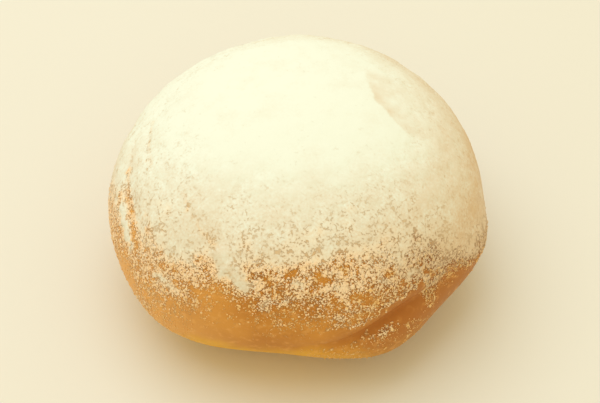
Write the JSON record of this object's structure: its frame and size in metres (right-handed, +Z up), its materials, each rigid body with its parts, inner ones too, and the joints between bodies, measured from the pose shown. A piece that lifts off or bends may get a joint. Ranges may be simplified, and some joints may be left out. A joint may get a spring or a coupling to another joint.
{
  "type": "cream bun",
  "caption": "Round soft bun with a full dome, a rounded heel and a folded lip at the front right, dusted with icing sugar, for food and table scenes.",
  "frame": {"origin": "middle of the bun's footprint, on the surface it rests on", "axes": "+Z up through the crown, -Y towards the front, which the picture shows, +X to the viewer's right"},
  "size_m": [0.0948, 0.0938, 0.058],
  "materials": {
    "crust": "soft baked dough, golden brown, satin",
    "sugar": "sifted icing sugar, dead matt, warm white"
  },
  "bodies": {
    "root": {"bun": "crust"}
  },
  "joints": []
}
